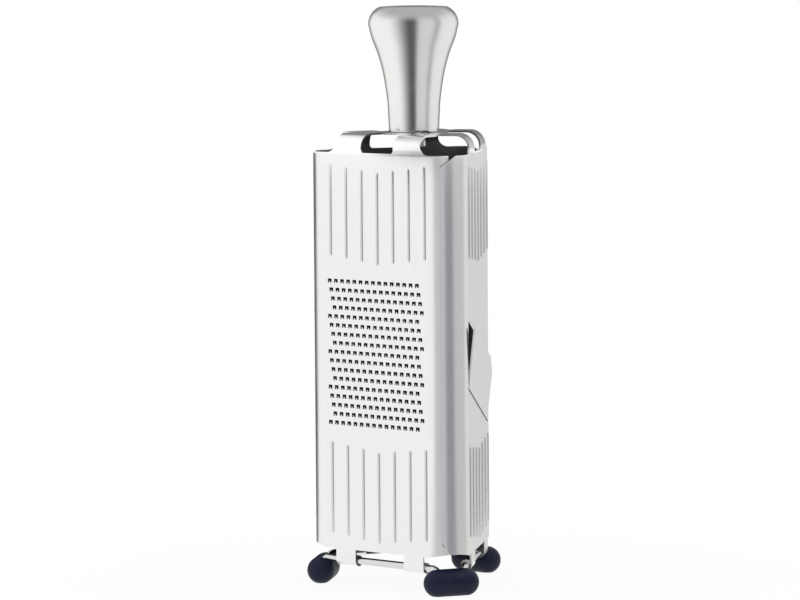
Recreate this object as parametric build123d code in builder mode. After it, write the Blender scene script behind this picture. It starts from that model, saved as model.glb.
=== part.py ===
from build123d import *
import os
from math import asin, atan, cos, degrees, radians, sin, sqrt, tan

# A box grater with three sides. Each side is one bent steel sheet that hinges on its own rod at the
# foot of the tower. Tabs at the top of the sheets turn inwards under a steel knob, which is screwed
# to the sheet at the back left and keeps the other two closed.
# Lengths in millimetres, angles in degrees, Z up, front towards -Y. Everything is drawn round the
# axis of the tower and then moved back, so that the middle of the whole outline stands on the origin.

os.makedirs("parts", exist_ok=True)

# The tower
side_count = 3
side_turn = 360 / side_count
side_flat = 63.8
corner_radius = 11.75
corner_inset = side_flat / (2 * sqrt(3))
side_distance = corner_inset + corner_radius
sheet = 0.8
cut_overrun = 30.0

# Lower and upper edge of a sheet, and the rise of the lower edge over the feet
bottom_edge = 17.8
top_edge = 206.6
relief_rise = 1.7
relief_start = 30.5
relief_end = 40.0

# The rounded corner belongs to one sheet and stops short of the next one
lap_angle = 35.0
ear_angle = 18.0
seam_gap = 0.3
top_bevel_width = 7.0
top_bevel_height = 5.0
bottom_bevel_width = 4.0
bottom_bevel_height = 7.0

# Middle of the stamped pattern, a little beside the middle of the flat
pattern_centre = 1.8

# Tab at the top, its window and the bend into the top plate
tab_width = 50.2
tab_shoulder = 5.5
tab_overlap = 6.0
bend_radius = 7.0
top_level = 215.6
window_width = 19.6
window_bottom = 206.8
window_corner = 1.6
window_reach = 15.0
tab_reach = 9.6
tab_gap = 0.5
tongue_radius = 8.0

# Raised ribs above and below the working field, in a shallow V
rib_count = 7
rib_pitch = 9.55
rib_width = 1.0
rib_height = 0.35
rib_length = 42.8
rib_step = 1.15
rib_upper_middle = 175.9
rib_lower_middle = 43.7

# Rods through the curled knuckles
rod_radius = 1.75
rod_fit = 0.05
knuckle_radius = rod_radius + rod_fit + sheet
rod_level = 12.4
rod_distance = side_distance - knuckle_radius
knuckle_inner = 14.75
knuckle_outer = 26.7
knuckle_corner = 2.0
rod_bend = 4.0
rod_bend_pieces = 4
rod_end_level = 4.5

# Rubber feet
foot_radius = 6.55
foot_distance = 45.4
foot_half_length = 7.0
foot_flat = 0.5
foot_cap_pieces = 7

# Fine field on the front sheet
fine_columns = 15
fine_rows = 17
fine_pitch = 3.81
fine_row_pitch = 4.22
fine_first_column = -27.64
fine_top_row = 145.6
fine_shift_cycle = 4
fine_hole_width = 2.3
fine_hole_height = 1.95
fine_tooth_width = 1.3
fine_tooth_length = 1.35
fine_tooth_root = 0.35
fine_tooth_thickness = 0.4
fine_tooth_lean = 32.0

# Coarse field on the sheet at the back left
coarse_columns = 6
coarse_rows = 9
coarse_pitch = 9.4
coarse_row_pitch = 7.9
coarse_top_row = 144.0
coarse_hole_radius = 2.7
coarse_hole_sides = 8
coarse_tooth_width = 4.2
coarse_tooth_length = 3.1
coarse_tooth_root = 0.8
coarse_tooth_thickness = 0.8
coarse_tooth_lean = 35.0

# Slicing blade on the sheet at the right
slot_left = -30.6
slot_right = 28.8
fold_level = 96.4
fold_slope = 0.365
blade_length = 27.4
blade_rise = 3.2
blade_mouth = 2.8
blade_side_gap = 0.5
blade_root = 0.4
blade_corner_width = 9.0
blade_corner_height = 5.0

# Knob, the plug in its base and the screw
knob_base = 215.9
knob_wall = 1.4
knob_profile = [(11.9, 0.0), (12.2, 7.7), (12.7, 15.5), (14.4, 26.9), (16.9, 36.5), (19.8, 44.2), (21.4, 50.6)]
knob_shoulder = (20.3, 55.2)
knob_rim = (16.0, 59.1)
knob_height = 59.6
knob_shoulder_pieces = 5
knob_dome_pieces = 4
plug_radius = 10.5
plug_height = 6.0
plug_foot_radius = 8.4
stud_radius = 3.0
stud_fit = 0.05
stud_depth = 5.0
washer_radius = 6.5
washer_height = 1.0
nut_across_flats = 10.0
nut_height = 5.0
stud_end = 1.2
stud_chamfer = 0.6

left_corner = (-side_flat / 2, -corner_inset)
right_corner = (side_flat / 2, -corner_inset)
flange_angle = side_turn - lap_angle
tab_left = pattern_centre - tab_width / 2
tab_right = pattern_centre + tab_width / 2
face_plane = Plane(origin=(0, -side_distance, 0), x_dir=(1, 0, 0), z_dir=(0, -1, 0))
knob_plane = Plane(origin=(0, 0, knob_base), x_dir=(1, 0, 0), z_dir=(0, -1, 0))


def seam_plane(corner, angle):
    """Plane that touches a rounded corner at an angle from -Y, with its x along the turn."""
    along = (cos(radians(angle)), sin(radians(angle)), 0)
    outward = (sin(radians(angle)), -cos(radians(angle)), 0)
    touching = (corner[0] + corner_radius * outward[0], corner[1] + corner_radius * outward[1], 0)
    return Plane(origin=touching, x_dir=along, z_dir=outward)


def leaning_plane(level, lean):
    """Plane through the middle of the sheet at a level, with its y up and leaning outwards."""
    outward = (0, -cos(radians(lean)), -sin(radians(lean)))
    return Plane(origin=(0, sheet / 2 - side_distance, level), x_dir=(1, 0, 0), z_dir=outward)


def closed_face(points):
    """Face inside a closed line through the points, in the sketch that is open."""
    with BuildLine() as outline:
        Polyline(*points, close=True)
    make_face(outline.edges())


def add_sheet():
    """Flat of one side, its rounded corner at the left and two small ears at the right."""
    right_turn = lap_angle + ear_angle
    with BuildSketch(Plane.XY.offset(bottom_edge)) as profile:
        with BuildLine():
            outer_left = CenterArc(left_corner, corner_radius, 270 - flange_angle, flange_angle)
            inner_left = CenterArc(left_corner, corner_radius - sheet, 270 - flange_angle, flange_angle)
            outer_right = CenterArc(right_corner, corner_radius, 270, right_turn)
            inner_right = CenterArc(right_corner, corner_radius - sheet, 270, right_turn)
            Line(outer_left @ 1, outer_right @ 0)
            Line(inner_left @ 1, inner_right @ 0)
            Line(outer_left @ 0, inner_left @ 0)
            Line(outer_right @ 1, inner_right @ 1)
        make_face()
    extrude(profile.sketch, amount=top_edge - bottom_edge)
    # Room for the free end of the next sheet's corner, with a narrow gap
    with BuildSketch(seam_plane(right_corner, lap_angle)) as profile:
        closed_face(
            [
                (0, bottom_edge + bottom_bevel_height),
                (bottom_bevel_width, bottom_edge),
                (bottom_bevel_width, -cut_overrun),
                (cut_overrun, -cut_overrun),
                (cut_overrun, top_edge + cut_overrun),
                (top_bevel_width, top_edge + cut_overrun),
                (top_bevel_width, top_edge),
                (0, top_edge - top_bevel_height),
            ]
        )
        offset(amount=seam_gap, kind=Kind.INTERSECTION)
    extrude(profile.sketch, amount=corner_radius / 2, both=True, mode=Mode.SUBTRACT)
    # Bevels at the free end of the sheet's own corner
    with BuildSketch(seam_plane(left_corner, -flange_angle)) as profile:
        closed_face(
            [
                (0, bottom_edge + bottom_bevel_height),
                (bottom_bevel_width, bottom_edge),
                (0, bottom_edge - bottom_bevel_height),
                (-seam_gap, bottom_edge),
            ]
        )
        closed_face(
            [
                (0, top_edge - top_bevel_height),
                (top_bevel_width, top_edge),
                (0, top_edge + top_bevel_height),
                (-seam_gap, top_edge),
            ]
        )
    extrude(profile.sketch, amount=corner_radius / 2, both=True, mode=Mode.SUBTRACT)
    # The lower edge rises over the feet
    with BuildSketch(face_plane) as profile:
        for side in (-1, 1):
            closed_face(
                [
                    (side * relief_start, bottom_edge),
                    (side * relief_end, bottom_edge + relief_rise),
                    (side * (relief_end + cut_overrun), bottom_edge + relief_rise),
                    (side * (relief_end + cut_overrun), bottom_edge - cut_overrun),
                    (side * relief_start, bottom_edge - cut_overrun),
                ]
            )
    extrude(profile.sketch, amount=-corner_radius, mode=Mode.SUBTRACT)


def add_tab(reach):
    """Tab that rises from the sheet and bends inwards into the top plate, with its window."""
    bend_level = top_level - bend_radius
    bend_line = bend_radius - side_distance
    with BuildSketch(Plane.YZ.offset(tab_left - tab_shoulder)) as profile:
        with BuildLine():
            outer = CenterArc((bend_line, bend_level), bend_radius, 90, 90)
            inner = CenterArc((bend_line, bend_level), bend_radius - sheet, 90, 90)
            outer_end = Line(outer @ 0, (-reach, top_level))
            inner_end = Line(inner @ 0, (-reach, top_level - sheet))
            Line(outer_end @ 1, inner_end @ 1)
            outer_foot = Line(outer @ 1, (-side_distance, top_edge - tab_overlap))
            inner_foot = Line(inner @ 1, (sheet - side_distance, top_edge - tab_overlap))
            Line(outer_foot @ 1, inner_foot @ 1)
        make_face()
    extrude(profile.sketch, amount=tab_width + 2 * tab_shoulder)
    # Hollow shoulders beside the tab
    with BuildSketch(face_plane) as profile:
        for side in (-1, 1):
            edge = pattern_centre + side * tab_width / 2
            middle = edge + side * tab_shoulder
            with Locations((middle, top_edge + tab_shoulder)):
                Circle(tab_shoulder)
            closed_face(
                [
                    (edge, top_edge + tab_shoulder),
                    (edge, top_level + tab_shoulder),
                    (middle + side * tab_shoulder, top_level + tab_shoulder),
                    (middle + side * tab_shoulder, top_edge),
                    (middle, top_edge),
                    (middle, top_edge + tab_shoulder),
                ]
            )
    extrude(profile.sketch, amount=-side_distance, mode=Mode.SUBTRACT)
    # Window through the bend, between two straps
    with BuildSketch(face_plane) as profile:
        with Locations((pattern_centre, window_bottom)):
            RectangleRounded(
                window_width, 2 * (top_level - window_bottom), window_corner, align=(Align.CENTER, Align.MIN)
            )
    extrude(profile.sketch, amount=window_reach - side_distance, mode=Mode.SUBTRACT)


def trim_plate():
    """Cuts the plate back to the third of the top that belongs to this side."""
    half_opening = side_turn / 2
    with BuildSketch(Plane.XY.offset(top_level - 2 * sheet)) as profile:
        for side in (-1, 1):
            gap = tab_gap / sin(radians(half_opening))
            far = side_distance * tan(radians(half_opening))
            closed_face(
                [
                    (0, gap),
                    (0, -gap),
                    (side * far, -gap - side_distance),
                    (side * far, gap),
                ]
            )
    extrude(profile.sketch, amount=4 * sheet, mode=Mode.SUBTRACT)


def add_knuckles():
    """Two strips of the lower edge, curled inwards round the rod."""
    with BuildSketch(Plane.YZ.offset(pattern_centre)) as profile:
        with Locations((-rod_distance, rod_level)):
            Circle(knuckle_radius)
        closed_face(
            [
                (-side_distance, rod_level),
                (-side_distance, bottom_edge + sheet),
                (sheet - side_distance, bottom_edge + sheet),
                (sheet - side_distance, rod_level),
            ]
        )
        with Locations((-rod_distance, rod_level)):
            Circle(rod_radius + rod_fit, mode=Mode.SUBTRACT)
    extrude(profile.sketch, amount=knuckle_outer, both=True)
    with BuildSketch(face_plane) as profile:
        with Locations((pattern_centre, bottom_edge)):
            RectangleRounded(
                2 * knuckle_inner, 2 * (bottom_edge - rod_level + knuckle_radius + sheet), knuckle_corner
            )
            Rectangle(
                2 * (knuckle_inner + knuckle_corner),
                bottom_edge,
                align=(Align.CENTER, Align.MIN),
                mode=Mode.SUBTRACT,
            )
    extrude(profile.sketch, amount=-2 * knuckle_radius - sheet, mode=Mode.SUBTRACT)


def add_ribs():
    """Two groups of narrow raised ribs."""
    with BuildSketch(face_plane) as profile:
        for index in range(rib_count):
            step = index - (rib_count - 1) / 2
            rise = rib_step * abs(step)
            places = [
                (pattern_centre + step * rib_pitch, rib_upper_middle + rise),
                (pattern_centre + step * rib_pitch, rib_lower_middle + rise),
            ]
            with Locations(*places):
                Rectangle(rib_width, rib_length)
    extrude(profile.sketch, amount=rib_height)


def panel_solid(reach):
    """Everything that the three sides have in common."""
    add_sheet()
    add_tab(reach)
    trim_plate()
    add_knuckles()
    add_ribs()


def cut_holes(profile):
    """Cuts the holes of a sketch on the face through the sheet."""
    extrude(profile.sketch, amount=-2 * sheet, mode=Mode.SUBTRACT, clean=False)


def teeth(middles, level, lean, width, length, root, thickness):
    """One row of pointed teeth that lean out of the sheet."""
    with BuildSketch(leaning_plane(level, lean), mode=Mode.PRIVATE) as profile:
        for middle in middles:
            closed_face([(middle - width / 2, -root), (middle + width / 2, -root), (middle, length)])
    return extrude(profile.sketch, amount=thickness / 2, both=True, mode=Mode.PRIVATE)


def chords(curve, pieces):
    """Points that divide a curve into equal pieces, without its start."""
    points = [curve @ (index / pieces) for index in range(1, pieces + 1)]
    return [(point.X, point.Y) for point in points]


def knob_section(inset):
    """Half of the knob's section from the axis, drawn in by a wall thickness."""
    side = [(radius - inset, level) for radius, level in knob_profile]
    rim = (knob_rim[0] - inset, knob_rim[1] - inset)
    top = knob_height - inset
    dome = (rim[0] ** 2 + (top - rim[1]) ** 2) / (2 * (top - rim[1]))
    dome_middle = (rim[0] / 2, top - dome + sqrt(dome**2 - (rim[0] / 2) ** 2))
    with BuildLine(mode=Mode.PRIVATE):
        shoulder_arc = ThreePointArc(side[-1], (knob_shoulder[0] - inset, knob_shoulder[1] - inset), rim)
        dome_arc = ThreePointArc(rim, dome_middle, (0, top))
    corners = side + chords(shoulder_arc, knob_shoulder_pieces) + chords(dome_arc, knob_dome_pieces)
    with BuildSketch(knob_plane, mode=Mode.PRIVATE) as outline:
        closed_face([(0, 0), *corners])
    return outline.sketch


# Front: fine teeth, each raised at the lower edge of its hole
with BuildPart() as panel_fine:
    panel_solid(tab_reach)
    fine_places = []
    for row in range(fine_rows):
        shift = (row % fine_shift_cycle) / fine_shift_cycle
        middles = [fine_first_column + (column + shift) * fine_pitch for column in range(fine_columns)]
        fine_places.append((fine_top_row - row * fine_row_pitch, middles))
    with BuildSketch(face_plane, mode=Mode.PRIVATE) as fine_holes:
        for level, middles in fine_places:
            with Locations(*[(middle, level) for middle in middles]):
                Rectangle(fine_hole_width, fine_hole_height)
    cut_holes(fine_holes)
    fine_teeth = [
        teeth(
            middles,
            level - fine_hole_height / 2,
            fine_tooth_lean,
            fine_tooth_width,
            fine_tooth_length,
            fine_tooth_root,
            fine_tooth_thickness,
        )
        for level, middles in fine_places
    ]
    add(fine_teeth, clean=False)

# Right: slicing blade, bent outwards along a slanting fold with its edge above
with BuildPart() as panel_slicer:
    panel_solid(tab_reach)
    slant = atan(fold_slope)
    fold_drop = fold_slope * (slot_right - slot_left)
    mouth_rise = (blade_length + blade_mouth) / cos(slant)
    with BuildSketch(face_plane, mode=Mode.PRIVATE) as slot:
        closed_face(
            [
                (slot_left, fold_level),
                (slot_right, fold_level - fold_drop),
                (slot_right, fold_level - fold_drop + mouth_rise),
                (slot_left, fold_level + mouth_rise),
            ]
        )
    cut_holes(slot)
    lean = asin(blade_rise / blade_length)
    blade_plane = Plane(
        origin=(slot_left, -side_distance, fold_level),
        x_dir=(cos(slant), 0, -sin(slant)),
        z_dir=(-sin(slant) * sin(lean), -cos(lean), -cos(slant) * sin(lean)),
    )
    fold_length = (slot_right - slot_left) / cos(slant)
    side_gap = blade_side_gap / cos(slant)
    with BuildSketch(blade_plane, mode=Mode.PRIVATE) as blade:
        closed_face(
            [
                (side_gap + blade_root * tan(slant), -blade_root),
                (fold_length - side_gap + blade_root * tan(slant), -blade_root),
                (
                    fold_length - side_gap - (blade_length - blade_corner_height) * tan(slant),
                    blade_length - blade_corner_height,
                ),
                (fold_length - side_gap - blade_length * tan(slant) - blade_corner_width, blade_length),
                (side_gap - blade_length * tan(slant), blade_length),
            ]
        )
    extrude(blade.sketch, amount=-sheet)

# Back left: coarse teeth, and the tongue that carries the knob
with BuildPart() as panel_coarse:
    panel_solid(tab_reach)
    with BuildSketch(Plane.XY.offset(top_level), mode=Mode.PRIVATE) as tongue:
        Circle(tongue_radius)
        Rectangle(2 * tongue_radius, tab_reach + tab_gap, align=(Align.CENTER, Align.MAX))
        Circle(stud_radius + stud_fit, mode=Mode.SUBTRACT)
    extrude(tongue.sketch, amount=-sheet)
    coarse_places = []
    for row in range(coarse_rows):
        shift = (row % 2) / 2 - 1 / 4
        steps = [column - (coarse_columns - 1) / 2 + shift for column in range(coarse_columns)]
        middles = [pattern_centre + step * coarse_pitch for step in steps]
        coarse_places.append((coarse_top_row - row * coarse_row_pitch, middles))
    with BuildSketch(face_plane, mode=Mode.PRIVATE) as coarse_holes:
        for level, middles in coarse_places:
            with Locations(*[(middle, level) for middle in middles]):
                RegularPolygon(coarse_hole_radius, coarse_hole_sides)
    cut_holes(coarse_holes)
    coarse_teeth = [
        teeth(
            middles,
            level - coarse_hole_radius,
            coarse_tooth_lean,
            coarse_tooth_width,
            coarse_tooth_length,
            coarse_tooth_root,
            coarse_tooth_thickness,
        )
        for level, middles in coarse_places
    ]
    add(coarse_teeth, clean=False)

# Rod of the front side, with both ends bent down into the feet
foot_across = foot_distance * cos(radians(side_turn / 4))
foot_back = foot_distance * sin(radians(side_turn / 4))
rod_end = foot_across - foot_half_length * sin(radians(side_turn / 4))
with BuildLine() as bend_line:
    rod_arc = CenterArc((rod_end - rod_bend, rod_level - rod_bend), rod_bend, 0, 90)
right_half = [(rod_end, rod_end_level), (rod_end, rod_level - rod_bend), *chords(rod_arc, rod_bend_pieces)]
left_half = [(-across, level) for across, level in reversed(right_half)]
with BuildPart() as rod:
    with BuildLine(Plane.XZ.offset(rod_distance)) as rod_path:
        Polyline(*right_half, *left_half)
    with BuildSketch(Plane(origin=rod_path.line @ 0, z_dir=rod_path.line % 0)):
        Circle(rod_radius)
    sweep(transition=Transition.RIGHT)

# Rubber foot under the right front corner: a capsule across the corner, with a flat to stand on
foot_turn = Plane(
    origin=(foot_across, -foot_back, foot_radius - foot_flat),
    x_dir=(sin(radians(side_turn / 4)), cos(radians(side_turn / 4)), 0),
    z_dir=(0, 0, 1),
)
with BuildLine() as cap_line:
    cap_arc = CenterArc((foot_half_length, 0), foot_radius, 0, 90)
right_cap = [(foot_half_length + foot_radius, 0), *chords(cap_arc, foot_cap_pieces)]
left_cap = [(-along, height) for along, height in reversed(right_cap)]
with BuildPart() as foot:
    with BuildSketch(foot_turn):
        closed_face([*right_cap, *left_cap])
    revolve(axis=Axis(foot_turn.origin, foot_turn.x_dir))
    with BuildSketch(Plane.XY):
        with Locations((foot_across, -foot_back)):
            Circle(4 * foot_half_length)
    extrude(amount=-2 * foot_radius, mode=Mode.SUBTRACT)
    add(rod.part, mode=Mode.SUBTRACT)
    add(rod.part.rotate(Axis.Z, side_turn), mode=Mode.SUBTRACT)

# Hollow knob, open at the bottom
with BuildPart() as knob_shell:
    revolve(knob_section(0), axis=Axis.Z)
    revolve(knob_section(knob_wall), axis=Axis.Z, mode=Mode.SUBTRACT)

# Plug in the base of the knob, standing on the tongue
with BuildPart() as knob_plug:
    with BuildSketch(Plane.XY.offset(top_level)):
        Circle(plug_foot_radius)
    extrude(amount=knob_base - top_level)
    with BuildSketch(Plane.XY.offset(knob_base)):
        Circle(plug_radius)
    extrude(amount=plug_height)
    with BuildSketch(Plane.XY.offset(top_level)):
        Circle(stud_radius)
    extrude(amount=stud_depth, mode=Mode.SUBTRACT)

# Screw in the plug, and the washer and nut under the tongue
washer_top = top_level - sheet
nut_top = washer_top - washer_height
nut_bottom = nut_top - nut_height
with BuildPart() as knob_screw:
    with BuildSketch(Plane.XY.offset(nut_bottom - stud_end)):
        Circle(stud_radius)
    extrude(amount=top_level + stud_depth - nut_bottom + stud_end)
    chamfer(knob_screw.edges().group_by(Axis.Z)[0], length=stud_chamfer)

with BuildPart() as washer:
    with BuildSketch(Plane.XY.offset(nut_top)):
        Circle(washer_radius)
        Circle(stud_radius + stud_fit, mode=Mode.SUBTRACT)
    extrude(amount=washer_height)

with BuildPart() as nut:
    with BuildSketch(Plane.XY.offset(nut_bottom)):
        RegularPolygon(nut_across_flats / 2, 6, major_radius=False)
        Circle(stud_radius + stud_fit, mode=Mode.SUBTRACT)
    extrude(amount=nut_height)

# Each side stands one third of a turn further round the axis
pieces = {
    "panel_fine": panel_fine.part,
    "panel_slicer": panel_slicer.part.rotate(Axis.Z, side_turn),
    "panel_coarse": panel_coarse.part.rotate(Axis.Z, -side_turn),
    "rod_front": rod.part,
    "rod_right": rod.part.rotate(Axis.Z, side_turn),
    "rod_left": rod.part.rotate(Axis.Z, -side_turn),
    "foot_right": foot.part,
    "foot_back": foot.part.rotate(Axis.Z, side_turn),
    "foot_left": foot.part.rotate(Axis.Z, -side_turn),
    "knob_shell": knob_shell.part,
    "knob_plug": knob_plug.part,
    "knob_screw": knob_screw.part,
    "washer": washer.part.rotate(Axis.Z, -side_turn),
    "nut": nut.part.rotate(Axis.Z, -side_turn),
}
outlines = [piece.bounding_box() for piece in pieces.values()]
front = min(outline.min.Y for outline in outlines)
back = max(outline.max.Y for outline in outlines)
for name, piece in pieces.items():
    placed = piece.moved(Location((0, -(front + back) / 2, 0)))
    placed.label = name
    export_step(placed, "parts/" + name + ".step")
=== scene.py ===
# %% [markdown]
# A hand grater with three sides
#
# The photographed object is a tall steel tower with a knob on top and three rubber feet. Each side
# is one bent sheet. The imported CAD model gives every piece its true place, so this lesson only
# dresses it: it builds smooth versions of the turned knob, the bent rods and the moulded feet,
# lays soft ribs over the square ones, and gives every piece a finish that is made from nodes.

import math

import bmesh
import bpy
from mathutils import Matrix, Vector


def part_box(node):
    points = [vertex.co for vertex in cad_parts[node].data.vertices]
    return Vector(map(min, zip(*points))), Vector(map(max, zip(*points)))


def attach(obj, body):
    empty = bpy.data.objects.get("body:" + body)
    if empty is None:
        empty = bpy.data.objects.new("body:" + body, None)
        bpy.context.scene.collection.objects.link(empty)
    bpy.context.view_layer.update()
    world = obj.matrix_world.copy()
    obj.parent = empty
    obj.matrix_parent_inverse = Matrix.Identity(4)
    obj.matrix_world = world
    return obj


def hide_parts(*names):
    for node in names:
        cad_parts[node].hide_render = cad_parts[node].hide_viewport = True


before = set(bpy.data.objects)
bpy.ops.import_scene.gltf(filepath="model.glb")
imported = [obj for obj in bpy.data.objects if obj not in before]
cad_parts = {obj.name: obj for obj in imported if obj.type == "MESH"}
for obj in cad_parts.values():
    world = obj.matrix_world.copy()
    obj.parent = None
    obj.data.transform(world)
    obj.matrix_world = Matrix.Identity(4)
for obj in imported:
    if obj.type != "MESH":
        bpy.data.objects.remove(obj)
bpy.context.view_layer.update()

# %% [markdown]
# Sizes of the tower
#
# Lengths are metres and repeat the values of the CAD model. The tower is turned three times about
# an upright axis that stands a little in front of the origin, because the outline as a whole was
# centred there. The place of that axis is read from the knob, which is round.

# %% Measure the axis and name the sizes
knob_low, knob_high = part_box("knob_shell")
tower_axis = Vector((0, (knob_low.y + knob_high.y) / 2, 0))
tower_height = knob_high.z
side_turn = math.radians(120)
corner_turn = math.radians(30)
side_flat = 0.0638
corner_radius = 0.01175
side_distance = side_flat / (2 * math.sqrt(3)) + corner_radius
pattern_centre = 0.0018
rod_level = 0.0124
sides = {"fine": 0, "slicer": 1, "coarse": -1}


def about_axis(turns):
    """Matrix that turns a piece drawn at the front by thirds of a turn about the tower's axis."""
    return Matrix.Translation(tower_axis) @ Matrix.Rotation(turns * side_turn, 4, "Z")


print("Tower axis at", tuple(round(value, 5) for value in tower_axis))
print("Tower height", round(tower_height, 4))

# %% [markdown]
# Writing shader maths as expressions
#
# A finish such as brushed steel is a sum of patterns. Each Math node could be added by hand, but
# the sum is easier to read as a Python expression. The class below wraps one socket, and every
# operator on it adds the node that does that sum. Reflected forms make 1 - mask work as well. The
# Mix node has several sockets of the same name, so its colour sockets are chosen by number.

# %% A small language for shader nodes
mix_first, mix_second, mix_result = 6, 7, 2


class Signal:
    """One output socket that can be used in sums."""

    def __init__(self, tree, socket):
        self.tree = tree
        self.socket = socket

    def math(self, operation, *others):
        """Adds a Math node with this value first."""
        values = dict(enumerate((self, *others)))
        return node(self.tree, "ShaderNodeMath", {"operation": operation}, values)

    def __add__(self, other):
        return self.math("ADD", other)

    def __sub__(self, other):
        return self.math("SUBTRACT", other)

    def __rsub__(self, other):
        return node(self.tree, "ShaderNodeMath", {"operation": "SUBTRACT"}, {0: other, 1: self})

    def __mul__(self, other):
        return self.math("MULTIPLY", other)

    __radd__ = __add__
    __rmul__ = __mul__

    def smooth(self, low, high):
        """Rises softly from 0 at low to 1 at high."""
        kind = {"interpolation_type": "SMOOTHSTEP"}
        values = {"Value": self, "From Min": low, "From Max": high}
        return node(self.tree, "ShaderNodeMapRange", kind, values)

    def mix(self, first, second):
        """Goes from the first colour to the second as this value goes from 0 to 1."""
        values = {"Factor": self, mix_first: first, mix_second: second}
        return node(self.tree, "ShaderNodeMix", {"data_type": "RGBA"}, values, mix_result)

    def vector(self, operation, other, output="Vector"):
        """Adds a Vector Math node with this vector first."""
        kind = {"operation": operation}
        return node(self.tree, "ShaderNodeVectorMath", kind, {0: self, 1: other}, output)


def node(tree, kind, settings=None, values=None, output=0):
    """Adds a node, sets it up, fills or links its inputs and gives back one of its outputs."""
    made = tree.nodes.new(kind)
    for name, value in (settings or {}).items():
        setattr(made, name, value)
    for name, value in (values or {}).items():
        if isinstance(value, Signal):
            tree.links.new(value.socket, made.inputs[name])
        else:
            made.inputs[name].default_value = value
    return Signal(tree, made.outputs[output])


def new_material(name):
    """Empty node material and its node tree."""
    material = bpy.data.materials.new(name)
    material.use_nodes = True
    material.node_tree.nodes.clear()
    return material, material.node_tree


def surface(tree, shader, kind="ShaderNodeOutputMaterial"):
    """Makes a shader the surface of its material or world."""
    end = tree.nodes.new(kind)
    tree.links.new(shader.socket, end.inputs["Surface"])


def principled(tree, values):
    """Makes a Principled shader with these values the surface of a material."""
    surface(tree, node(tree, "ShaderNodeBsdfPrincipled", {}, values))


def emission(tree, colour, strength=1.0):
    """Shader that gives off light of a colour."""
    return node(tree, "ShaderNodeEmission", {}, {"Color": colour, "Strength": strength})


print("Shader helpers ready")

# %% [markdown]
# Sheet steel
#
# The sides are rolled stainless sheet with a fine upright grain. Real grain is thousands of
# scratches, far too many to model, so noise that is stretched along Z changes the roughness and
# tilts the surface very slightly. Seen through its holes and windows the tower is dark inside,
# because light is lost between the three sheets. The finish paints that shade: it darkens whatever
# faces the middle of the tower, which it finds from the surface direction and the place, both in
# the sheet's own space, so the painted shade stays put when a side is folded out.

# %% Make the sheet steel
sheet_middle = 0.11
surely_inwards, hardly_inwards = -0.006, -0.003
scratch_scale = (2600.0, 2600.0, 30.0)
rolling_scale = (260.0, 260.0, 6.0)
smudge_scale = (35.0, 35.0, 25.0)
smudge_edges = (0.35, 0.75)
scratch_share = 0.25
sheet_colours = ((0.84, 0.84, 0.835, 1), (0.90, 0.90, 0.895, 1))
# Colour of the painted shade on the inside of the tower.
inside_shade_colour = (0.17, 0.165, 0.18, 1)
sheet_rough = 0.24
rough_scratches, rough_smudges, rough_inside = 0.06, 0.05, 0.25
sheet_relief, sheet_relief_depth = 0.05, 0.0002


def grain(tree, scale, detail=3.0):
    """Noise in the piece's own space, stretched by a scale for each axis."""
    place = node(tree, "ShaderNodeTexCoord", output="Object")
    stretched = node(tree, "ShaderNodeMapping", {}, {"Vector": place, "Scale": scale})
    values = {"Vector": stretched, "Scale": 1.0, "Detail": detail}
    return node(tree, "ShaderNodeTexNoise", {}, values)


def facing_inwards(tree, middle):
    """1 where the surface faces a point in the middle of the tower, 0 where it faces away."""
    place = node(tree, "ShaderNodeTexCoord", output="Object")
    direction = node(tree, "ShaderNodeTexCoord", output="Normal")
    from_middle = place.vector("SUBTRACT", middle)
    outward = direction.vector("DOT_PRODUCT", from_middle, "Value")
    return 1.0 - outward.smooth(surely_inwards, hardly_inwards)


def bump(tree, height, strength, distance):
    """Surface direction after a small relief."""
    values = {"Height": height, "Strength": strength, "Distance": distance}
    return node(tree, "ShaderNodeBump", {}, values)


sheet_steel, tree = new_material("sheet_steel_brushed")
fine_grain = grain(tree, scratch_scale)
broad_grain = grain(tree, rolling_scale, 2.0)
smudges = grain(tree, smudge_scale).smooth(*smudge_edges)
# Painted shade: faces towards the middle of the tower are darkened in the colour.
inside = facing_inwards(tree, (0.0, tower_axis.y, sheet_middle))
lit = (fine_grain * scratch_share + broad_grain * (1 - scratch_share)).mix(*sheet_colours)
rough = sheet_rough + fine_grain * rough_scratches + smudges * rough_smudges
principled(
    tree,
    {
        "Base Color": inside.mix(lit, inside_shade_colour),
        "Metallic": 1.0,
        "Roughness": rough + inside * rough_inside,
        "Normal": bump(tree, fine_grain + broad_grain, sheet_relief, sheet_relief_depth),
    },
)
print("Sheet steel has", len(tree.nodes), "nodes")

# %% [markdown]
# Turned and drawn steel
#
# The knob is satin steel that was ground while it turned, so its marks run round it as rings. The
# rods are drawn wire with a bright polish and an even, faint mottle, and the screw, washer and nut
# share their finish. The ribs have a grain that runs along them and are painted a little greyer
# than the sheet, as shade on the pressed rib. The crease under the blade is a dull dark line of
# painted shade. One recipe serves all four. Only the rods' finish paints shade where it faces the
# middle of the tower, as the sheets do.

# %% Make the knob's, the rods', the ribs' and the crease's steel
haze_scale = (60.0, 60.0, 60.0)
haze_edges = (0.4, 0.8)
haze_rough = 0.04
marks_share = 0.6
marks_depth = 0.0001
shaded_steel = (0.04, 0.04, 0.05, 1)


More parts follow.
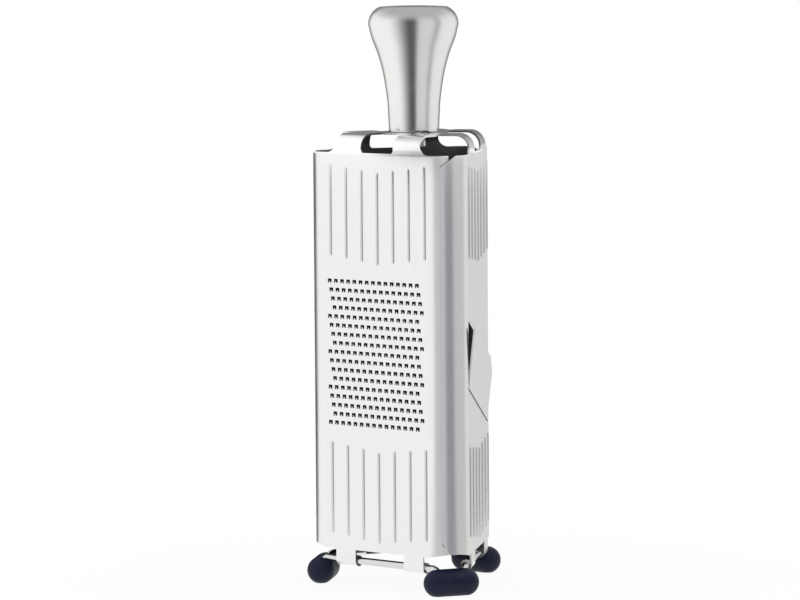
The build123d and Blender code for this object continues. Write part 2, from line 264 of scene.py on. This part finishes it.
def ground_steel(name, colours, scale, rough_low, rough_range, relief, inside_shade_strength=0.0):
    """Steel whose marks follow the scale of its grain, with painted shade towards the inside if
    asked.
    """
    material, tree = new_material(name)
    marks = grain(tree, scale)
    haze = grain(tree, haze_scale, 2.0)
    # Painted shade where the surface faces the middle of the tower.
    inside_shade_mask = facing_inwards(tree, (0.0, tower_axis.y, rod_level)) * inside_shade_strength
    steel_colour = (marks * marks_share + haze * (1 - marks_share)).mix(*colours)
    rough = rough_low + marks * rough_range + haze.smooth(*haze_edges) * haze_rough
    principled(
        tree,
        {
            "Base Color": inside_shade_mask.mix(steel_colour, shaded_steel),
            "Metallic": 1.0,
            "Roughness": rough,
            "Normal": bump(tree, marks, relief, marks_depth),
        },
    )
    print(name, "has", len(tree.nodes), "nodes")
    return material


knob_steel = ground_steel(
    "knob_steel_satin",
    colours=((0.68, 0.68, 0.675, 1), (0.78, 0.78, 0.77, 1)),
    scale=(40.0, 40.0, 5200.0),
    rough_low=0.20,
    rough_range=0.08,
    relief=0.015,
)
# The rods get painted shade on their side towards the middle of the tower.
rod_steel = ground_steel(
    "rod_steel_polished",
    colours=((0.66, 0.66, 0.67, 1), (0.76, 0.76, 0.77, 1)),
    scale=(900.0, 900.0, 900.0),
    rough_low=0.12,
    rough_range=0.05,
    relief=0.02,
    inside_shade_strength=1.0,
)
# The ribs' colours are darker than the sheet's, as painted shade on the pressed rib.
rib_steel = ground_steel(
    "rib_steel_drawn",
    colours=((0.68, 0.68, 0.69, 1), (0.76, 0.76, 0.77, 1)),
    scale=(900.0, 900.0, 60.0),
    rough_low=0.3,
    rough_range=0.08,
    relief=0.02,
)
# Dull dark steel that paints the line of shade in the crease.
crease_shade_steel = ground_steel(
    "crease_painted_shade",
    colours=((0.07, 0.07, 0.08, 1), (0.12, 0.12, 0.13, 1)),
    scale=(900.0, 900.0, 900.0),
    rough_low=0.5,
    rough_range=0.1,
    relief=0.02,
)

# %% [markdown]
# Rubber of the feet
#
# The feet are moulded rubber of a very dark blue. Rubber is matt close up, with a soft highlight
# and a fine moulded texture. Two sizes of noise are enough: a large one shifts the colour, and a
# small one breaks up the highlight.

# %% Make the rubber
mottle_scale = (300.0, 300.0, 300.0)
mottle_edges = (0.3, 0.7)
pore_scale = (3500.0, 3500.0, 3500.0)
rubber_colours = ((0.005, 0.008, 0.028, 1), (0.009, 0.014, 0.040, 1))
rubber_rough, rough_pores = 0.46, 0.1
rubber_shine = 0.22
pore_relief, pore_depth = 0.12, 0.0001

foot_rubber, tree = new_material("foot_rubber_navy")
mottle = grain(tree, mottle_scale, 2.0).smooth(*mottle_edges)
pores = grain(tree, pore_scale, 2.0)
principled(
    tree,
    {
        "Base Color": mottle.mix(*rubber_colours),
        "Roughness": rubber_rough + pores * rough_pores,
        "Specular IOR Level": rubber_shine,
        "Normal": bump(tree, pores, pore_relief, pore_depth),
    },
)
print("Rubber has", len(tree.nodes), "nodes")

# %% [markdown]
# From a list of points to a piece
#
# Every piece built here starts as a bmesh, most of them from rows of points that are joined by
# faces. One helper turns it into an object, smooths it, keeps its real edges sharp and fastens it
# to the CAD body that it moves with.


# %% Helpers for pieces
def piece(name, mesh_data, material, body, sharp=35):
    """Object from a bmesh, with its finish, on its body; edges over sharp degrees stay sharp."""
    bmesh.ops.recalc_face_normals(mesh_data, faces=mesh_data.faces)
    mesh = bpy.data.meshes.new(name)
    mesh_data.to_mesh(mesh)
    mesh_data.free()
    mesh.shade_smooth()
    mesh.set_sharp_from_angle(angle=math.radians(sharp))
    mesh.materials.append(material)
    made = bpy.data.objects.new(name, mesh)
    bpy.context.scene.collection.objects.link(made)
    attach(made, body)
    print(name, "has", len(mesh.polygons), "faces and rides on", body)
    return made


def turned_to(turns, shape):
    """The bmesh, drawn at the front, after its thirds of a turn about the tower's axis."""
    bmesh.ops.transform(shape, matrix=about_axis(turns), verts=shape.verts)
    return shape


def join_rows(shape, rows, closed=False):
    """Faces between neighbouring rows, also from each row's last point to its first if closed."""
    count = len(rows[0])
    for row, after in zip(rows, rows[1:]):
        for low in range(count if closed else count - 1):
            high = (low + 1) % count
            shape.faces.new((row[low], row[high], after[high], after[low]))


print("Piece helpers ready")

# %% [markdown]
# Curves through a few points
#
# The knob's outline is known at a few places only. A smooth line through them keeps the gentle
# sweep of a turned grip, and its shoulder is an arc through three points. Turning the closed line
# about an upright axis then gives the shape, as on a lathe.


# %% Helpers for curves
def arc_through(first, middle, last, steps):
    """Points on the circle through three points in a plane, without the first."""
    a, b, c = (Vector(point) for point in (first, middle, last))
    turn = 2 * (a.x * (b.y - c.y) + b.x * (c.y - a.y) + c.x * (a.y - b.y))
    squares = [point.length_squared for point in (a, b, c)]
    centre = Vector(
        (
            squares[0] * (b.y - c.y) + squares[1] * (c.y - a.y) + squares[2] * (a.y - b.y),
            squares[0] * (c.x - b.x) + squares[1] * (a.x - c.x) + squares[2] * (b.x - a.x),
        )
    )
    centre /= turn
    start, end = (math.atan2(*(point - centre).yx) for point in (a, c))
    span = (end - start + math.pi) % (2 * math.pi) - math.pi
    radius = (a - centre).length
    angles = [start + span * step / steps for step in range(1, steps + 1)]
    return [
        (centre.x + radius * math.cos(angle), centre.y + radius * math.sin(angle))
        for angle in angles
    ]


def smooth_through(points, steps):
    """Points on a smooth line through the given ones, which keeps their order."""
    ahead = 2 * Vector(points[0]) - Vector(points[1])
    beyond = 2 * Vector(points[-1]) - Vector(points[-2])
    guides = [ahead, *map(Vector, points), beyond]
    line = [tuple(points[0])]
    for before, start, end, after in zip(guides, guides[1:], guides[2:], guides[3:]):
        for step in range(1, steps + 1):
            share = step / steps
            spot = 0.5 * (
                2 * start
                + (end - before) * share
                + (2 * before - 5 * start + 4 * end - after) * share**2
                + (3 * start - before - 3 * end + after) * share**3
            )
            line.append(tuple(spot))
    return line


def turned(section, about, steps):
    """Bmesh of a closed section of (radius, height) points turned about an upright axis."""
    merge_distance = 0.000001
    shape = bmesh.new()
    rings = []
    for step in range(steps):
        angle = 2 * math.pi * step / steps
        spoke = Vector((math.cos(angle), math.sin(angle), 0))
        ring = [about + spoke * radius + Vector((0, 0, height)) for radius, height in section]
        rings.append([shape.verts.new(point) for point in ring])
    join_rows(shape, [*rings, rings[0]], closed=True)
    bmesh.ops.remove_doubles(shape, verts=shape.verts, dist=merge_distance)
    return shape


print("Curve helpers ready")

# %% [markdown]
# The knob
#
# The knob is a hollow steel grip, narrow at the neck and wide at the palm, with a rounded shoulder
# and a slightly domed end. A lathe shape is the natural way: draw half of the section once and
# turn it. The section goes up the outside, over the dome, and back down the inside one wall
# thickness away, so that the open end shows a real rim.

# %% Turn the knob
knob_wall = 0.0014
knob_profile = [
    (0.0119, 0.0),
    (0.0122, 0.0077),
    (0.0127, 0.0155),
    (0.0144, 0.0269),
    (0.0169, 0.0365),
    (0.0198, 0.0442),
    (0.0214, 0.0506),
]
knob_shoulder = (0.0203, 0.0552)
knob_rim = (0.0160, 0.0591)
knob_top = 0.0596
knob_base = knob_low.z
shoulder_drop_share = 0.6
open_edge_radius = 0.0002
profile_steps, shoulder_steps, crown_steps, knob_around = 6, 14, 8, 128


def knob_outline(inset):
    """Points up one skin of the knob, from its open end to the middle of its dome."""
    profile = [(radius - inset, height) for radius, height in knob_profile]
    side = smooth_through(profile, profile_steps)
    shoulder = (knob_shoulder[0] - inset, knob_shoulder[1] - inset * shoulder_drop_share)
    rim = (knob_rim[0] - inset, knob_rim[1] - inset)
    over = arc_through(side[-1], shoulder, rim, shoulder_steps)
    crown = []
    for step in range(1, crown_steps + 1):
        outwards = 1 - step / crown_steps
        rise = (knob_top - inset - rim[1]) * (1 - outwards**2)
        crown.append((rim[0] * outwards, rim[1] + rise))
    return [(radius, knob_base + height) for radius, height in side + over + crown]


outside = knob_outline(0.0)
cavity = knob_outline(knob_wall)
neck_radius, open_level = outside[0]
bore_radius = cavity[0][0]
knob_section = [
    (neck_radius - open_edge_radius, open_level),
    (neck_radius, open_level + open_edge_radius),
    *outside[1:],
    *reversed(cavity[1:]),
    (bore_radius, open_level + open_edge_radius),
    (bore_radius + open_edge_radius, open_level),
]
knob_shape = turned(knob_section, tower_axis, knob_around)
knob = piece("knob_grip", knob_shape, knob_steel, "knob", sharp=50)
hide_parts("knob_shell")

# %% [markdown]
# The rods
#
# Each rod is one piece of drawn wire. It runs through the curled knuckles of its side and turns
# down into a foot at both ends. A tube swept along the bent line is the plain way to do this, and
# a ring of points is carried along the line in code so that the bend stays round.

# %% Bend the rods
rod_radius = 0.00175
rod_bend = 0.004
rod_bend_steps = 12
rod_around = 32
rod_end_level = 0.0045
rod_setback = 0.0026
rod_distance = side_distance - rod_setback
foot_distance = 0.0454
foot_half_length = 0.007
rod_end = foot_distance * math.cos(corner_turn) - foot_half_length / 2
soft_end_share = 0.2


def rod_line():
    """Middle line of the front rod from its left end to its right end."""
    bend = [math.pi / 2 * step / rod_bend_steps for step in range(rod_bend_steps + 1)]
    bend_x, bend_level = rod_end - rod_bend, rod_level - rod_bend
    right = [(rod_end, rod_end_level)]
    right += [
        (bend_x + rod_bend * math.cos(angle), bend_level + rod_bend * math.sin(angle))
        for angle in bend
    ]
    left = [(-x, z) for x, z in right]
    return [Vector((x, -rod_distance, z)) for x, z in [*left, *reversed(right)]]


def swept_tube(line, radius, around):
    """Bmesh of a round tube along a line that lies in one upright plane, with soft ends."""
    shape = bmesh.new()
    sideways = Vector((0, 1, 0))
    spokes = [2 * math.pi * step / around for step in range(around)]
    ends = [(line[0] - line[1]).normalized(), (line[-1] - line[-2]).normalized()]
    soft = radius * soft_end_share
    stations = [(line[0], radius - soft)]
    stations += [(line[0] - ends[0] * soft, radius), *((spot, radius) for spot in line[1:-1])]
    stations += [(line[-1] - ends[1] * soft, radius), (line[-1], radius - soft)]
    rings = []
    for index, (spot, size) in enumerate(stations):
        before = stations[max(index - 1, 0)][0]
        after = stations[min(index + 1, len(stations) - 1)][0]
        up = (after - before).normalized().cross(sideways).normalized()
        ring = [spot + size * (sideways * math.cos(a) + up * math.sin(a)) for a in spokes]
        rings.append([shape.verts.new(point) for point in ring])
    join_rows(shape, rings, closed=True)
    shape.faces.new(rings[0])
    shape.faces.new(reversed(rings[-1]))
    return shape


for place, turns in {"front": 0, "right": 1, "left": -1}.items():
    tube = turned_to(turns, swept_tube(rod_line(), rod_radius, rod_around))
    wire = piece("bent_rod_" + place, tube, rod_steel, "base")
    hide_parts("rod_" + place)

# %% [markdown]
# The feet
#
# A foot is a capsule of rubber that is pushed over the ends of two rods. It is moulded in two
# halves, so a thin seam runs round it, and it stands on a small flat. The capsule is laid out as
# rings along its length, the seam is a slight swelling of every ring at mid height, and points
# below the floor are lifted on to it.

# %% Mould the feet
foot_radius = 0.00655
foot_flat = 0.0005
foot_level = foot_radius - foot_flat
seam_swelling = 0.012
seam_spread = 0.06
foot_around, cap_steps, body_steps = 64, 16, 6


def foot_shape():
    """Bmesh of the foot at the right front corner."""
    shape = bmesh.new()
    along = Vector((math.sin(corner_turn), math.cos(corner_turn), 0))
    across = Vector((along.y, -along.x, 0))
    middle = foot_distance * Vector((math.cos(corner_turn), -math.sin(corner_turn), 0))
    middle.z = foot_level
    quarter = [math.pi / 2 * step / cap_steps for step in range(1, cap_steps + 1)]
    stations = [
        (-foot_half_length - foot_radius * math.cos(angle), foot_radius * math.sin(angle))
        for angle in quarter
    ]
    body_shares = [2 * step / body_steps - 1 for step in range(1, body_steps)]
    stations += [(foot_half_length * share, foot_radius) for share in body_shares]
    stations += [(-position, size) for position, size in reversed(stations[:cap_steps])]
    rings = []
    for position, size in stations:
        ring = []
        for step in range(foot_around):
            angle = 2 * math.pi * step / foot_around
            spoke = across * math.cos(angle) + Vector((0, 0, math.sin(angle)))
            seam = 1 + seam_swelling * math.exp(-((math.sin(angle) / seam_spread) ** 2))
            spot = middle + along * position + size * seam * spoke
            spot.z = max(spot.z, 0.0)
            ring.append(shape.verts.new(spot))
        rings.append(ring)
    reach = foot_half_length + foot_radius
    tips = [shape.verts.new(middle + along * (end * reach)) for end in (-1, 1)]
    join_rows(shape, rings, closed=True)
    for low in range(foot_around):
        high = (low + 1) % foot_around
        shape.faces.new((tips[0], rings[0][high], rings[0][low]))
        shape.faces.new((tips[1], rings[-1][low], rings[-1][high]))
    return shape


for place, turns in {"right": 0, "back": 1, "left": -1}.items():
    capsule = turned_to(turns, foot_shape())
    foot = piece("rubber_foot_" + place, capsule, foot_rubber, "base", sharp=60)
    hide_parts("foot_" + place)

# %% [markdown]
# The ribs
#
# Seven ribs above the working field and seven below it are pressed out of each sheet. In the
# solids they are square bars. A pressed rib is a low round swelling with tapered ends, which shows
# as a thin grey line where it turns away from the light. Each one is a small half tube that covers
# its bar and sinks into the sheet at both ends.

# %% Press the ribs
rib_count = 7
rib_pitch = 0.00955
rib_half_width = 0.00078
rib_height = 0.00062
rib_length = 0.0428
rib_step = 0.00115
rib_middles = (0.1759, 0.0437)
rib_across = 10
rib_sunk = 0.0001
rib_taper = 0.0012
rib_end_shares = ((0.0, 0.05), (0.3, 0.6), (1.0, 1.0))


def rib_shape():
    """Bmesh of all ribs of one side, drawn at the front."""
    shape = bmesh.new()
    angles = [math.pi * point / rib_across for point in range(rib_across + 1)]
    for middle in rib_middles:
        for index in range(rib_count):
            step = index - (rib_count - 1) / 2
            x = pattern_centre + step * rib_pitch
            low = middle + rib_step * abs(step) - rib_length / 2 - rib_taper / 2
            high = low + rib_length + rib_taper
            stations = [(low + rib_taper * share, size) for share, size in rib_end_shares]
            stations += [(high - rib_taper * share, size) for share, size in rib_end_shares[::-1]]
            rows = []
            for z, size in stations:
                row = []
                for angle in angles:
                    wide = rib_half_width * size * math.cos(angle)
                    out = rib_height * size * math.sin(angle) - rib_sunk
                    row.append(shape.verts.new((x - wide, -side_distance - out, z)))
                rows.append(row)
            join_rows(shape, rows)
    return shape


for side, turns in sides.items():
    ribs = turned_to(turns, rib_shape())
    piece("ribs_" + side, ribs, rib_steel, side + "_side", sharp=80)

# %% [markdown]
# The crease of the blade
#
# The slicing blade is cut free on three sides and bent outwards along its lower side. Shade
# gathers in a fine line along such a bend, and a dull dark bead paints that shade here. It runs
# aslant, from the lower end of the slot to the far edge. The bead is half sunk in the sheet,
# because a groove would need a cut in the solid.

# %% Draw the crease
crease_ends = ((-0.0306, 0.0964), (0.0288, 0.0747))
crease_radius = 0.00026
crease_proud = 0.00005
crease_around = 12
crease_line = [Vector((x, -side_distance - crease_proud, z)) for x, z in crease_ends]
crease = turned_to(sides["slicer"], swept_tube(crease_line, crease_radius, crease_around))
piece("blade_crease", crease, crease_shade_steel, "slicer_side", sharp=60)

# %% [markdown]
# The seams at the corners
#
# The rounded corner of each sheet meets the next sheet in a butt seam. The solids leave a gap
# there that is wide enough for a moving side. On the real sheet the cut edge is rolled over a
# little, so hardly any gap shows. A thin lip along the free end of the corner does the same here,
# and it moves with its own sheet.

# %% Add the rolled lips
seam_angle = math.radians(35)
lip_depth = 0.0006
lip_width = 0.00022
lip_sunk = 0.00002
lip_roll = 0.00005
lip_steps = 4
lip_levels = (0.0252, 0.2012)


def lip_shape():
    """Bmesh of the lip at the right front corner."""
    shape = bmesh.new()
    corner = Vector((side_flat / 2, -(side_distance - corner_radius), 0))
    section = []
    for step in range(lip_steps + 1):
        angle = seam_angle - lip_width / corner_radius * step / lip_steps
        section.append((angle, corner_radius - lip_sunk - lip_roll * (step / lip_steps) ** 2))
    section += [(angle, corner_radius - lip_depth) for angle, _ in reversed(section)]
    rows = []
    for height in lip_levels:
        spots = [Vector((r * math.sin(a), -r * math.cos(a), height)) for a, r in section]
        rows.append([shape.verts.new(corner + spot) for spot in spots])
    join_rows(shape, rows, closed=True)
    shape.faces.new(rows[0])
    shape.faces.new(reversed(rows[1]))
    return shape


for owner, turns in {"slicer": 0, "coarse": 1, "fine": -1}.items():
    lip = turned_to(turns, lip_shape())
    piece("lip_" + owner, lip, sheet_steel, owner + "_side")

# %% [markdown]
# The coarse scoops
#
# The hidden side is taken to be the coarse one. A coarse cutter is punched and drawn at once:
# behind each hole the steel rises in a small hood whose sharp mouth faces up. The solids have the
# pointed tongue in the middle of it. The hood is a quarter of a stretched ball with a thin wall,
# laid over that tongue.

# %% Draw the scoops
scoop_columns = 6
scoop_rows = 9
scoop_pitch = 0.0094
scoop_row_pitch = 0.0079
scoop_top_row = 0.144
scoop_radius = 0.0032
scoop_length = 0.0052
scoop_mouth = 0.0023
scoop_rise = 0.0026
scoop_wall = 0.0003
scoop_sunk = 0.0001
scoop_around, scoop_climb = 14, 8


def scoop_skin(shape, x, level, inset):
    """Rows of points over one skin of a hood, from its outline on the sheet to its mouth."""
    skin = []
    for high in range(scoop_climb + 1):
        lift = math.pi / 2 * high / scoop_climb
        row = []
        for step in range(scoop_around + 1):
            angle = math.pi * step / scoop_around
            wide = (scoop_radius - inset) * math.cos(angle)
            out = (scoop_rise - inset) * math.sin(angle) * math.sin(lift)
            down = (scoop_length - inset) * math.sin(angle) * math.cos(lift)
            spot = (x + wide, -side_distance + scoop_sunk - out, level + scoop_mouth - down)
            row.append(shape.verts.new(spot))
        skin.append(row)
    return skin


def scoop_shape():
    """Bmesh of all scoops, drawn at the front."""
    merge_distance = 0.000002
    shape = bmesh.new()
    for row in range(scoop_rows):
        level = scoop_top_row - row * scoop_row_pitch
        shift = (row % 2) / 2 - 1 / 4
        for column in range(scoop_columns):
            x = pattern_centre + (column - (scoop_columns - 1) / 2 + shift) * scoop_pitch
            outer, inner = (scoop_skin(shape, x, level, inset) for inset in (0.0, scoop_wall))
            join_rows(shape, outer)
            join_rows(shape, inner)
            for edge in (0, scoop_climb):
                join_rows(shape, (outer[edge], inner[edge]))
    bmesh.ops.remove_doubles(shape, verts=shape.verts, dist=merge_distance)
    return shape


scoops = turned_to(sides["coarse"], scoop_shape())
piece("coarse_scoops", scoops, sheet_steel, "coarse_side", sharp=50)

# %% [markdown]
# Finishes for the solids that stay
#
# The sheets, the plug in the knob, the screw, the washer and the nut have their true shape
# already. They keep their CAD meshes and only get their finish.

# %% Dress the solids
finishes = {
    "panel_fine": sheet_steel,
    "panel_slicer": sheet_steel,
    "panel_coarse": sheet_steel,
    "knob_plug": knob_steel,
    "knob_screw": rod_steel,
    "washer": rod_steel,
    "nut": rod_steel,
}
for name, material in finishes.items():
    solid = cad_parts[name]
    solid.data.materials.clear()
    solid.data.materials.append(material)
print("Dressed", ", ".join(finishes))

# %% [markdown]
# Floor and white surroundings
#
# The photograph has a plain white ground. The floor is a disc that is white to the camera and in
# reflections, and keeps a share of ordinary matt white under the object, so that a soft shadow
# remains. The world is white in the same way, and lights matt surfaces a little less.

# %% Lay the floor and the world
floor_radius, floor_around = 1.2, 96
paper_white = (0.9, 0.9, 0.9, 1)
pure_white = (1, 1, 1, 1)
shadow_share = 0.06
shadow_edges = (0.06, 0.25)
world_fill = 0.62


def seen_directly(tree):
    """1 for rays from the camera, from a mirror or through glass."""
    path = tree.nodes.new("ShaderNodeLightPath")
    names = ("Is Camera Ray", "Is Glossy Ray", "Is Transmission Ray")
    camera_ray, mirror_ray, glass_ray = (Signal(tree, path.outputs[name]) for name in names)
    return camera_ray.math("MAXIMUM", mirror_ray).math("MAXIMUM", glass_ray)


def scenery(name, shape, material):
    """Object from a bmesh for what stands round the tower."""
    mesh = bpy.data.meshes.new(name)
    shape.to_mesh(mesh)
    shape.free()
    mesh.materials.append(material)
    made = bpy.data.objects.new(name, mesh)
    bpy.context.scene.collection.objects.link(made)
    return made


floor_white, tree = new_material("floor_white")
place = node(tree, "ShaderNodeTexCoord", output="Object")
reach = place.vector("LENGTH", (0, 0, 0), "Value")
paper = node(tree, "ShaderNodeBsdfDiffuse", {}, {"Color": paper_white})
glow = emission(tree, pure_white)
share = seen_directly(tree) * (1 - shadow_share + reach.smooth(*shadow_edges) * shadow_share)
surface(tree, node(tree, "ShaderNodeMixShader", {}, {0: share, 1: paper, 2: glow}))

disc = bmesh.new()
bmesh.ops.create_circle(disc, cap_ends=True, segments=floor_around, radius=floor_radius)
floor = scenery("floor", disc, floor_white)

world = bpy.data.worlds.new("studio")
bpy.context.scene.world = world
world.use_nodes = True
sky = world.node_tree
sky.nodes.clear()
brightness = world_fill + seen_directly(sky) * (1 - world_fill)
backdrop = node(sky, "ShaderNodeBackground", {}, {"Color": pure_white, "Strength": brightness})
surface(sky, backdrop, "ShaderNodeOutputWorld")
print("Floor and world ready")

# %% [markdown]
# Cards round the object
#
# Polished metal only shows what stands round it. In an all white room the tower would lose its
# form, so a photographer places dark and grey cards beside the camera. Here each card is a strip
# of a wide cylinder round the tower and a wedge on the floor before it, which only mirrors can
# see: the camera, the matt surfaces and the shadows ignore them. Angles are measured from the
# direction of the camera, positive to its right.

# %% Stand the cards
camera_turn = math.radians(-50.77)
card_reach = 0.9
card_top = 0.7
wedge_start = 0.08
just_off_floor = 0.001
tower_cards = {
    "front_grey": (-40, 14, (0.58, 0.58, 0.60)),
    "right_dark": (14, 48, (0.29, 0.29, 0.32)),
    "side_grey": (48, 112, (0.58, 0.58, 0.58)),
    "side_pale": (112, 146, (0.79, 0.80, 0.76)),
    "behind_cool": (146, 180, (0.68, 0.70, 0.70)),
    "left_dark": (180, 238, (0.10, 0.10, 0.11)),
}


def mirror_only(name, material, from_angle, to_angle, profile, steps=24):
    """Screen between two angles, with a profile of radii and heights, for mirrors alone."""
    shape = bmesh.new()
    rows = []
    for step in range(steps + 1):
        angle = camera_turn + math.radians(from_angle + (to_angle - from_angle) * step / steps)
        spoke = Vector((math.cos(angle), math.sin(angle), 0))
        spots = [tower_axis + spoke * far + Vector((0, 0, high)) for far, high in profile]
        rows.append([shape.verts.new(spot) for spot in spots])
    join_rows(shape, rows)
    made = scenery(name, shape, material)
    made.visible_camera = False
    made.visible_diffuse = False
    made.visible_shadow = False
    made.visible_transmission = False
    return made


def card(name, angles, profile, grey):
    """Evenly grey screen between two angles."""
    material, tree = new_material(name)
    surface(tree, emission(tree, (*grey, 1)))
    return mirror_only(name, material, *angles, profile)


upright = [(card_reach, 0.0), (card_reach, card_top)]
wedge = [(wedge_start, just_off_floor), (card_reach, just_off_floor)]
cards = []
for card_name, (from_angle, to_angle, grey) in tower_cards.items():
    angles = (from_angle, to_angle)
    cards.append(card("card_" + card_name, angles, upright, grey))
    cards.append(card("card_" + card_name + "_floor", angles, wedge, grey))
print("Cards:", ", ".join(made.name for made in cards))

# %% [markdown]
# A graded screen for the knob
#
# The knob is round, so it mirrors the whole room squeezed into narrow upright bands: bright at the
# left, a soft fall to nearly black in the middle, a warm light band, a thin grey line and a dark
# rim at each side. One screen close round the knob carries these greys as a smooth function of the
# angle, and one grey overhead. It stands above the sheets, so that they don't show it.

# %% Stand the screen for the knob
bright_left = 0.95
fall_angles, fall_depth = (-64, -6), 0.90
band_angles, band_rise = (3, 15), 0.62
line_from, line_to, line_depth = (46, 58), (60, 72), 0.3
right_angles, right_rise = (58, 80), 0.14
rim_angles, rim_depth = (122, 150), 0.85
overhead_levels, overhead_tone = (0.29, 0.345), 0.46
black, warm_white = (0, 0, 0, 1), (1, 1, 0.99, 1)
screen_strength = 1.25
screen_radius, screen_foot, screen_inner_radius = 0.1, 0.206, 0.03
dome = [(0.1, 0.29), (0.085, 0.32), (0.05, 0.345), (0.001, 0.355)]
round_steps, low_steps = 72, 48

screen_tones, tree = new_material("knob_screen_tones")
place = node(tree, "ShaderNodeTexCoord", output="Object").vector("SUBTRACT", tower_axis)
to_camera = (math.cos(camera_turn), math.sin(camera_turn), 0)
to_its_right = (-math.sin(camera_turn), math.cos(camera_turn), 0)
ahead = place.vector("DOT_PRODUCT", to_camera, "Value")
beside = place.vector("DOT_PRODUCT", to_its_right, "Value")
height = place.vector("DOT_PRODUCT", (0, 0, 1), "Value")
turn = beside.math("ARCTAN2", ahead) * (180 / math.pi)
fall = turn.smooth(*fall_angles) * fall_depth
warm_band = turn.smooth(*band_angles) * band_rise
grey_line = turn.smooth(*line_from) * (1.0 - turn.smooth(*line_to)) * line_depth
bright_side = turn.smooth(*right_angles) * right_rise
rim = turn.math("ABSOLUTE").smooth(*rim_angles) * rim_depth
around_knob = (bright_left - fall + warm_band - grey_line + bright_side) * (1.0 - rim)
overhead = height.smooth(*overhead_levels)
tone = around_knob * (1.0 - overhead) + overhead * overhead_tone
surface(tree, emission(tree, tone.mix(black, warm_white), screen_strength))

round_profile = [(screen_radius, screen_foot), *dome]
low_profile = [(screen_inner_radius, screen_foot), (screen_radius, screen_foot)]
cards = [
    mirror_only("knob_screen_round", screen_tones, -180, 180, round_profile, round_steps),
    mirror_only("knob_screen_low", screen_tones, -115, 115, low_profile, low_steps),
]
print("Screens for the knob:", ", ".join(made.name for made in cards))

# %% [markdown]
# Lamps and camera
#
# A large soft lamp at the front left and a weaker one above give the matt pieces their form. The
# camera stands a little over two metres away and just higher than the knob, turned and tilted as
# the photograph was taken. Its long lens keeps the upright edges nearly parallel.

# %% Place the lamps and the camera
camera_place = (1.34811, -1.65084, 0.32354)
camera_yaw, camera_pitch, camera_roll = 39.43, 5.04, -0.40
lens_length, sensor_width = 202.26, 36.0


def soft_lamp(name, place, target, size, power):
    """Square area lamp that looks at a point and that no mirror shows."""
    data = bpy.data.lights.new(name, "AREA")
    data.size = size
    data.energy = power
    lamp = bpy.data.objects.new(name, data)
    lamp.location = place
    lamp.rotation_euler = (Vector(target) - Vector(place)).to_track_quat("-Z", "Y").to_euler()
    lamp.visible_glossy = False
    bpy.context.scene.collection.objects.link(lamp)


object_middle = (0, 0, tower_height / 2)
soft_lamp("lamp_front_left", (-0.9, -1.2, 1.3), object_middle, size=0.9, power=7.0)
soft_lamp("lamp_above", (0.4, 0.3, 1.6), object_middle, size=0.8, power=4.0)

yaw, pitch, roll = (math.radians(angle) for angle in (camera_yaw, camera_pitch, camera_roll))
forward = Vector(
    (-math.sin(yaw) * math.cos(pitch), math.cos(yaw) * math.cos(pitch), -math.sin(pitch))
)
level_right = Vector((math.cos(yaw), math.sin(yaw), 0))
level_up = level_right.cross(forward)
camera_right = math.cos(roll) * level_right + math.sin(roll) * level_up
camera_up = -math.sin(roll) * level_right + math.cos(roll) * level_up
facing = Matrix((camera_right, camera_up, -forward)).transposed().to_4x4()
lens_data = bpy.data.cameras.new("camera")
lens_data.lens = lens_length
lens_data.sensor_width = sensor_width
camera = bpy.data.objects.new("camera", lens_data)
camera.matrix_world = Matrix.Translation(tower_axis + Vector(camera_place)) @ facing
bpy.context.scene.collection.objects.link(camera)
bpy.context.scene.camera = camera
bpy.context.scene.view_settings.view_transform = "Standard"
print("Camera at", tuple(round(value, 3) for value in camera.location))
